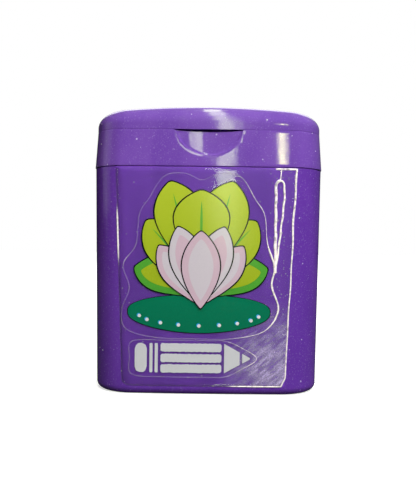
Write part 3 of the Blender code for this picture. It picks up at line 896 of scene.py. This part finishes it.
def as_sheet(name, bm, thickness):
    """Patches that face forwards, closed into a thin sheet with a Solidify modifier, away from the body."""
    for face in bm.faces:
        face.normal_update()
        if face.normal.y > 0:
            face.normal_flip()
    made = linked(name, bm)
    shell = made.modifiers.new("sheet", "SOLIDIFY")
    shell.thickness = thickness * MM
    shell.offset = 1.0
    return made


INK, PAD, LIME, GREEN, PETAL, BLUSH, GLINT, SKY = range(8)
LEAF_RIB = 0.045
HALF_LEAF = 0.66
PLANT_X = -1.2
# Leaves and petals from back to front: reach to each side, z of base and tip, width, where widest, bend,
# outer and inner colour, and the inner one's share of the width
PLANT = (
    (12.6, 18.2, 24.3, 7.6, 0.62, 1.6, GREEN, LIME, HALF_LEAF),
    (10.4, 18.2, 33.2, 8.4, 0.66, 0.8, LIME, GREEN, LEAF_RIB),
    (6.0, 18.2, 40.6, 9.0, 0.72, 0.0, LIME, GREEN, LEAF_RIB),
    (0.0, 18.2, 39.0, 10.5, 0.74, 0.0, LIME, GREEN, LEAF_RIB),
    (8.0, 17.0, 28.4, 5.6, 0.62, 0.0, BLUSH, PETAL, HALF_LEAF),
    (4.4, 17.0, 32.0, 6.4, 0.6, 0.0, PETAL, BLUSH, HALF_LEAF),
    (0.0, 16.6, 31.2, 7.2, 0.55, 0.0, BLUSH, PETAL, HALF_LEAF),
)
PAD_LEFT, PAD_RIGHT = (-15.0, 15.9), (12.0, 15.9)
PAD_WIDTH = 7.2
PAD_DOTS = 9
DOT_ROW_CENTRE, DOT_ROW_RADII = (-1.5, 15.6), (11.6, 2.3)


def two_tone(bm, base, tip, width, layer, outer, inner, share, **form):
    """A leaf with a dark outline, an outer colour and an inner colour over that share of its width."""
    base, tip = Vector(base), Vector(tip)
    lay(bm, leaf(base, tip, width, grow=0.26, **form), layer, INK)
    lay(bm, leaf(base, tip, width, **form), layer + 1, outer)
    lay(bm, leaf(base.lerp(tip, 0.10), base.lerp(tip, 0.90), width * share, **form), layer + 2, inner)


def make_motif():
    """A plain water plant: pale petals among ribbed lime leaves on a dark floating pad with a row of dots."""
    bm = bmesh.new()
    pad = {"bend": -0.35, "blunt": 0.4, "steps": 72, "end": 0.0005}
    lay(bm, leaf(PAD_LEFT, PAD_RIGHT, PAD_WIDTH, grow=0.15, **pad), 0, INK)
    lay(bm, leaf(PAD_LEFT, PAD_RIGHT, PAD_WIDTH, **pad), 1, PAD)
    for row, (reach, low, high, width, widest, bend, outer, inner, share) in enumerate(PLANT):
        for side in (-1, 1) if reach else (1,):
            base, tip = (PLANT_X, low), (PLANT_X + side * reach, high)
            form = {"widest": widest, "bend": side * bend}
            two_tone(bm, base, tip, width, 3 * row + 2, outer, inner, share, **form)
    for angle in even(math.radians(192), math.radians(348), PAD_DOTS - 1):
        x = DOT_ROW_CENTRE[0] + DOT_ROW_RADII[0] * math.cos(angle)
        add_dot(bm, x, DOT_ROW_CENTRE[1] + DOT_ROW_RADII[1] * math.sin(angle))
    return as_print("motif", bm)


def add_dot(bm, x, z):
    lay(bm, disc((x - 0.1, z + 0.08), 0.38, 0.38), 2, SKY)
    lay(bm, disc((x + 0.05, z - 0.03), 0.32, 0.32), 3, GLINT)


def bar(left, right, low, high, rounding, ragged=0.05):
    """Sections of a hand-painted bar with rounded ends and slightly uneven edges."""
    sections = []
    for x in even(left, right, max(8, int((right - left) / 0.25))):
        near = max(0.0, rounding - min(x - left, right - x))
        pull = rounding - math.sqrt(max(rounding**2 - near**2, 0.0)) * 0.98
        wobble = random.uniform(-ragged, ragged)
        sections.append(((x, low + pull + wobble), (x, high - pull + wobble)))
    return sections


def make_mark():
    """A plain white pencil sign: eraser, ferrule, three-sided barrel and sharpened tip."""
    bm = bmesh.new()
    low, high = 4.3, 9.9
    lay(bm, bar(-13.6, -11.3, low, high, 1.1), 0, 0)
    for left in (-10.8, -9.8):
        lay(bm, bar(left, left + 0.6, low, high, 0.2), 0, 0)
    stripe = (high - low - 0.8) / 3
    for row in range(3):
        start = low + row * (stripe + 0.4)
        lay(bm, bar(-8.7, 2.9, start, start + stripe, 0.3), 0, 0)
    tip_x, core_x, neck_x = 8.3, 6.6, 3.4
    middle, half = (low + high) / 2, (high - low) / 2
    for start, end in ((neck_x, core_x - 0.25), (core_x + 0.25, tip_x)):
        sections = []
        for x in even(start, end, 12):
            spread = half * (tip_x + 0.25 - x) / (tip_x + 0.25 - neck_x)
            sections.append(((x, middle - spread), (x, middle + spread)))
        lay(bm, sections, 0, 0)
    return as_print("mark", bm)


# ---------------------------------------------------------------- film
def film_sides(z):
    """Left and right edge of the film at height z: slanted, wavy on the right, with rounded lower corners."""
    share = (z - FILM_LOW_Z) / (FILM_HIGH_Z - FILM_LOW_Z)
    left = FILM_BASE_LEFT + (FILM_TOP_LEFT - FILM_BASE_LEFT) * share
    right = FILM_BASE_RIGHT + (FILM_TOP_RIGHT - FILM_BASE_RIGHT) * share
    waviness = 0.2 * math.sin(z * 0.52) * math.sin(z * 0.21 + 1.0) * share
    corner = max(0.0, FILM_LOW_Z + 1.6 - z) * 0.45
    below = max(0.0, FILM_LOW_Z + 1.2 - z)
    return left + 1.2 - math.sqrt(max(1.2**2 - below**2, 0.0)), right - corner + waviness


def make_film():
    bm = bmesh.new()
    sections = [[(x, z) for x in film_sides(z)] for z in even(FILM_LOW_Z, FILM_HIGH_Z, 90)]
    lay(bm, sections, 0, 0, out=FILM_OUT, across=60)
    return as_sheet("film", bm, FILM_THICK)


def bead(name, points, radii, out, closed=True, sides=8):
    """A fine round bead laid on the front face along points (x, z), as a closed tube."""
    bm = bmesh.new()
    count = len(points)
    rings = []
    for i, (x, z) in enumerate(points):
        before = Vector(points[i - 1] if closed or i else points[0])
        after = Vector(points[(i + 1) % count] if closed or i < count - 1 else points[-1])
        along = (after - before).normalized()
        side = Vector((-along.y, 0, along.x))
        middle = Vector((x, front_y(x, z, out), z))
        ring = []
        for step in range(sides):
            angle = 2 * math.pi * step / sides
            offset = side * math.cos(angle) + Vector((0, FRONT, 0)) * math.sin(angle)
            ring.append(bm.verts.new(middle + offset * radii[i]))
        rings.append(ring)
    pairs = list(zip(rings, rings[1:])) + ([(rings[-1], rings[0])] if closed else [])
    for first, second in pairs:
        bridge(bm, first, second)
    if not closed:
        bm.faces.new(rings[0])
        bm.faces.new(rings[-1])
    return as_object(name, bm, sharp=80.0)


def smooth_loop(corners, steps):
    """A closed smooth curve (Catmull-Rom) through a few chosen points."""
    points = []
    for i in range(len(corners)):
        p0, p1, p2, p3 = (Vector(corners[(i + k - 1) % len(corners)]) for k in range(4))
        for t in even(0.0, 1.0, steps)[:-1]:
            bend = (p0 * 2 - p1 * 5 + p2 * 4 - p3) * t * t + (p1 * 3 - p0 - p2 * 3 + p3) * t**3
            points.append(tuple((p1 * 2 + (p2 - p0) * t + bend) / 2))
    return points


def within(value):
    """The value, held between 0 and 1."""
    return min(max(value, 0.0), 1.0)


def rim_radius(x, z):
    """Radius of the film's rim: thin on its left, thicker on its right and at the streak on its left."""
    radius = 0.07 + 0.06 * within(x / 8)
    if x > 12:
        radius += 0.06 * within((z - 26.0) / 6.0)
    if x < -12:
        radius += 0.09 * within(min(z - 24.0, 37.0 - z) / 3.0)
    return radius


def make_film_rim():
    """The bead along the film's cut edge, from the right of its top round to its upper left corner."""
    heights = even(FILM_HIGH_Z, FILM_LOW_Z, 150)
    points = [(x, FILM_HIGH_Z) for x in even(0.0, film_sides(FILM_HIGH_Z)[1], 50)[38:-1]]
    points += [(film_sides(z)[1], z) for z in heights]
    points += [(x, FILM_LOW_Z) for x in even(points[-1][0], film_sides(FILM_LOW_Z)[0], 60)[1:-1]]
    points += [(film_sides(z)[0], z) for z in reversed(heights)]
    radii = [rim_radius(x, z) + random.uniform(-0.015, 0.015) for x, z in points]
    return bead("film rim", points, radii, FILM_OUT + FILM_THICK * 0.5, closed=False)


MOTIF_CONTOUR = [
    (-1.2, 41.0), (2.2, 42.2), (6.2, 41.6), (9.0, 37.4), (10.8, 34.4), (11.4, 29.0), (12.8, 24.6),
    (12.3, 21.0), (13.6, 16.4), (11.0, 12.4), (5.0, 10.9), (-2.0, 10.8), (-10.0, 11.0), (-15.4, 12.6),
    (-16.2, 16.2), (-14.8, 20.4), (-16.0, 24.8), (-13.6, 28.6), (-13.0, 34.4), (-11.2, 37.4), (-8.4, 41.6),
    (-4.4, 42.2),
]
MARK_CONTOUR = [
    (-14.6, 7.1), (-14.1, 10.2), (-8.0, 10.45), (0.0, 10.45), (3.6, 10.4), (6.8, 9.1), (9.6, 7.1),
    (6.8, 5.1), (3.6, 3.6), (0.0, 3.5), (-8.0, 3.5), (-14.1, 3.9),
]


def lifted(x, z):
    """How far the film has come loose at a cut line, from 0 to 1: on the right, beside the pad."""
    return within((x - 10.5) / 1.5) * within((z - 12.0) / 3.0) * within((31.0 - z) / 3.0)


def make_cut_lines():
    """The fine die-cut lines around the motif and the mark."""
    made = []
    for name, corners in (("motif cut line", MOTIF_CONTOUR), ("mark cut line", MARK_CONTOUR)):
        points = smooth_loop(corners, 12)
        radii = [0.05 + 0.11 * lifted(x, z) + random.uniform(-0.015, 0.02) for x, z in points]
        made.append(bead(name, points, radii, FILM_OUT + FILM_THICK + 0.01))
    return made


def make_highlight_loop(low, high):
    """A narrow closed loop of painted highlight on the film, a white glowing bead: straight on its left,
    round above and drawn to a point below.
    """
    points, radii = [], []
    steps = 120
    for step in range(steps):
        turn = 2 * math.pi * step / steps
        share = 0.5 + 0.5 * math.cos(turn)
        z = low + (high - low) * share
        width = HIGHLIGHT_LOOP_WIDTH * min(1.0, 1.25 * share**0.9)
        past = max(0.0, share - 1 + HIGHLIGHT_LOOP_CAP) / HIGHLIGHT_LOOP_CAP
        half = width / 2 * math.sqrt(max(1 - past**2, 0.0)) * math.copysign(1, math.sin(turn))
        points.append((HIGHLIGHT_LOOP_X + width / 2 + half + 0.05 * math.sin(z * 1.7), z))
        radius = 0.18 if half > 0 else 0.27
        radii.append(radius * (1 + 0.12 * math.sin(step * 0.9) * math.sin(step * 0.37)))
    return bead("highlight_loop", points, radii, FILM_OUT + FILM_THICK)


def make_highlight_line(low, high):
    """A fine line of painted highlight, a white glowing bead, from the top of the highlight loop to the top
    edge of the film.
    """
    start = HIGHLIGHT_LOOP_X + HIGHLIGHT_LOOP_WIDTH / 2
    points = list(zip(even(start, start + 0.2, 12), even(low, high, 12)))
    return bead("highlight_line", points, [0.09] * len(points), FILM_OUT + FILM_THICK, closed=False)


# ---------------------------------------------------------------- assembly
def build_object():
    shells = (
        (make_container, "container", "container", (106, 58, 170), (98, 52, 162), 0.07),
        (make_head, "head", "head", (118, 76, 176), (110, 68, 170), 0.05),
        (make_lid, "lid", "flip_lid", (118, 77, 176), (110, 69, 170), 0.06),
    )
    for make, body, node, tone, deep, gloss in shells:
        film = body == "container"
        purple = purple_plastic(f"{body}_purple", colour(*tone), colour(*deep), gloss, under_film=film)
        finish_piece(make(), f"{body}_shell", body, [purple], [node])

    grey = insert_plastic()
    ground = steel("blade_steel", colour(206, 208, 212), colour(176, 172, 166), 90, 0.16, 0.3)
    plated = steel("screw_steel", colour(214, 208, 190), colour(186, 176, 150), 15, 0.2, 0.34)
    for hole in HOLES:
        name = hole["name"]
        fittings = (
            (make_insert, "insert", "insert_plastic", grey, "insert"),
            (make_blade, "blade", "blade_steel", ground, "blade"),
            (make_screw, "screw", "screw_steel", plated, "blade_screw"),
        )
        for make, kind, slot, material, node in fittings:
            finish_piece(make(hole), f"{name}_{kind}_fine", "head", [material], [f"{name}_{node}"])

    finish_piece(make_film(), "clear_film_sheet", "container", [clear_film()], ["label_film"])
    # The film's rim, loop, line and cut lines share a white, glowing material: painted highlight, partly the
    # cut edges' own white.
    rim = film_edge_and_highlight_material("film_rim_and_highlight", 3.5, 6.0, 0.02)
    fine = film_edge_and_highlight_material("film_cut_line_and_highlight", 2.0, 13.0, 0.14)
    edges = [(make_film_rim(), "film_rim_and_highlight", rim), (make_highlight_loop(23.5, 41.0), "film_highlight_loop", rim)]
    edges.append((make_highlight_line(41.0, 43.1), "film_highlight_line", rim))
    edges += zip(make_cut_lines(), ("motif_cut_line", "mark_cut_line"), (fine, fine))
    for made, name, material in edges:
        finish_piece(made, name, "container", [material])

    inks = [
        printed(name, colour(*light), colour(*dark), slope, middle)
        for name, light, dark, slope, middle in (
            ("ink_outline", (8, 24, 26), (4, 14, 18), 0.0, 25.0),
            ("ink_pad", (0, 122, 88), (0, 104, 74), 0.05, 16.0),
            ("ink_lime", (184, 200, 52), (156, 176, 30), 0.04, 34.0),
            ("ink_green", (90, 170, 56), (58, 146, 44), 0.05, 22.0),
            ("ink_petal", (212, 202, 212), (200, 190, 202), 0.0, 25.0),
            ("ink_blush", (212, 184, 200), (200, 168, 188), 0.0, 25.0),
            ("ink_glint", (226, 228, 232), (214, 216, 222), 0.0, 25.0),
            ("ink_sky", (40, 170, 226), (24, 140, 206), 0.0, 25.0),
        )
    ]
    finish_piece(make_motif(), "motif_print", "container", inks, ["motif_decal"])
    white = printed("ink_white", colour(214, 214, 220), colour(202, 202, 210))
    finish_piece(make_mark(), "mark_print", "container", [white], ["mark_decal"])


# ---------------------------------------------------------------- camera, light and floor
CAMERA_AWAY = 130.0
CAMERA_X = 0.1
CAMERA_Z = 27.8
CAMERA_LENS = 44.7
CAMERA_ROLL = -0.7
LAMP_AWAY = 1000.0
HEAD_LEAN = 3.4
BAND_START = 4.0
BAND_STEP = 26.5
BAND_SHIFT = 12.0
BAND_TONE = (0.88, 1.0, 0.58)
# Soft lamps that leave no highlight: name, place, size and watts
SOFT_LAMPS = (
    ("key", (240, -520, 760), (700, 420), 3.6),
    ("fill", (480, -860, 300), (300, 500), 1.2),
    ("near", (50, -150, 130), (150, 90), 0.19),
)


def add_camera():
    data = bpy.data.cameras.new("camera")
    data.lens = CAMERA_LENS
    data.sensor_width = 36.0
    data.clip_start = 0.01
    made = bpy.data.objects.new("camera", data)
    made.location = Vector((CAMERA_X, -CAMERA_AWAY, CAMERA_Z)) * MM
    made.rotation_euler = (math.pi / 2, math.radians(CAMERA_ROLL), 0)
    scene.collection.objects.link(made)
    scene.camera = made


def add_lamp(name, place, target, size, power, tone=(1, 1, 1)):
    """A rectangular lamp, in millimetres, aimed from place at target."""
    data = bpy.data.lights.new(name, "AREA")
    data.shape = "RECTANGLE"
    data.size, data.size_y = size[0] * MM, size[1] * MM
    data.energy = power
    data.color = tone
    made = bpy.data.objects.new(name, data)
    made.location = Vector(place) * MM
    toward = Vector(target) - Vector(place)
    made.rotation_euler = toward.to_track_quat("-Z", "Y").to_euler()
    made.visible_camera = False
    scene.collection.objects.link(made)
    return made


def add_world():
    """A white backdrop. What the object reflects is brighter above and on the right, darker on the left."""
    world = bpy.data.worlds.new("studio")
    world.use_nodes = True
    scene.world = world
    n = Nodes(world.node_tree)
    backdrop = n.tree.nodes["Background"]
    backdrop.inputs["Color"].default_value = (1, 1, 1, 1)
    across, _, up = n.axes(n.add("ShaderNodeTexCoord").outputs["Generated"])
    light = n.maths("MULTIPLY", n.ramp(up, -0.05, 0.8, 0.05, 0.5), n.ramp(across, -0.9, 0.1, 0.1, 1.0))
    room = n.add("ShaderNodeBackground", {"Strength": light})
    n.camera_sees(backdrop.outputs[0], room.outputs[0])


def add_floor():
    """A pale floor that is seen white. What the object mirrors of it is a dim grey table."""
    bm = bmesh.new()
    bmesh.ops.create_grid(bm, x_segments=1, y_segments=1, size=4000)
    made = as_object("floor", bm)
    made.location.z = -0.02 * MM
    s = Shader("floor_white")
    away = s.add("ShaderNodeVectorMath", operation="LENGTH")
    s.link(s.place, away.inputs[0])
    glow = s.ramp(away.outputs["Value"], 30.0, 260.0, 0.62, 1.0)
    s.main.inputs["Emission Color"].default_value = (1, 1, 1, 1)
    s.set(Base_Color=(0.85, 0.85, 0.85, 1), Roughness=0.9, Emission_Strength=glow)
    dim = s.add("ShaderNodeBsdfDiffuse", {"Color": (0.06, 0.055, 0.07, 1)})
    s.camera_sees(s.main.outputs[0], dim.outputs[0])
    made.data.materials.append(s.material)


def mirrored(x, z, lean):
    """Where a ray of the camera goes, LAMP_AWAY in front, once the front face has mirrored it at (x, z).

    lean is how far the face leans back there, in degrees.
    """
    half_w = section(z)[0] - BOW_SIDE
    point = Vector((x, front_y(x, z), z))
    facing = Vector((2 * BOW_FRONT * x / half_w**2, FRONT, math.tan(math.radians(lean)))).normalized()
    ray = (point - Vector((CAMERA_X, -CAMERA_AWAY, CAMERA_Z))).normalized()
    ray -= 2 * ray.dot(facing) * facing
    return point + ray * (-LAMP_AWAY - point.y) / ray.y


def add_lamps():
    """Soft light without highlights, then the lamps that the glossy faces mirror."""
    centre = Vector((0, 0, 30))
    for name, place, size, power in SOFT_LAMPS:
        add_lamp(name, place, centre, size, power).visible_glossy = False
    add_lamp("back", (0, 700, 600), centre, (800, 400), 2.0)

    low, high = mirrored(13.5, 42.5, HEAD_LEAN), mirrored(14.6, 52.0, HEAD_LEAN)
    size = (high.x - low.x, high.z - low.z)
    add_lamp("window", (low + high) / 2, centre, size, 27 * lamp_area(size), (1.0, 1.0, 0.45))

    left, right = mirrored(1.7, 47.0, HEAD_LEAN).x, mirrored(4.9, 47.0, HEAD_LEAN).x
    size = (right - left, LAMP_AWAY * math.radians(BAND_STEP))
    for step in range(4):
        angle = math.radians(BAND_START + BAND_STEP * (step + 0.5))
        x = (left + right) / 2 - BAND_SHIFT * step
        place = Vector((x, -LAMP_AWAY * math.cos(angle), LAMP_AWAY * math.sin(angle)))
        add_lamp(f"band {step}", place, (x, 0, centre.z), size, 10 * lamp_area(size), BAND_TONE)
    foot = (size[0] * 0.8, LAMP_AWAY * math.sin(math.radians(BAND_START)) - 4)
    place = Vector(((left + right) / 2 + 10, -LAMP_AWAY, foot[1] / 2 + 2))
    add_lamp("band foot", place, (place.x, 0, place.z), foot, 9 * lamp_area(foot), BAND_TONE)

    wall = (600, 500)
    add_lamp("left wall", (-1000, -150, 300), centre, wall, 0.5 * lamp_area(wall)).visible_diffuse = False
    line = (26, 420)
    add_lamp("left line", (-960, -140, 120), centre, line, 1.3 * lamp_area(line)).visible_diffuse = False


def lamp_area(size):
    """Watts that a lamp of this size in millimetres takes for each unit of brightness."""
    return math.pi * size[0] * size[1] * MM**2


scene.view_settings.view_transform = "Standard"
add_camera()
build_object()
add_floor()
add_world()
add_lamps()
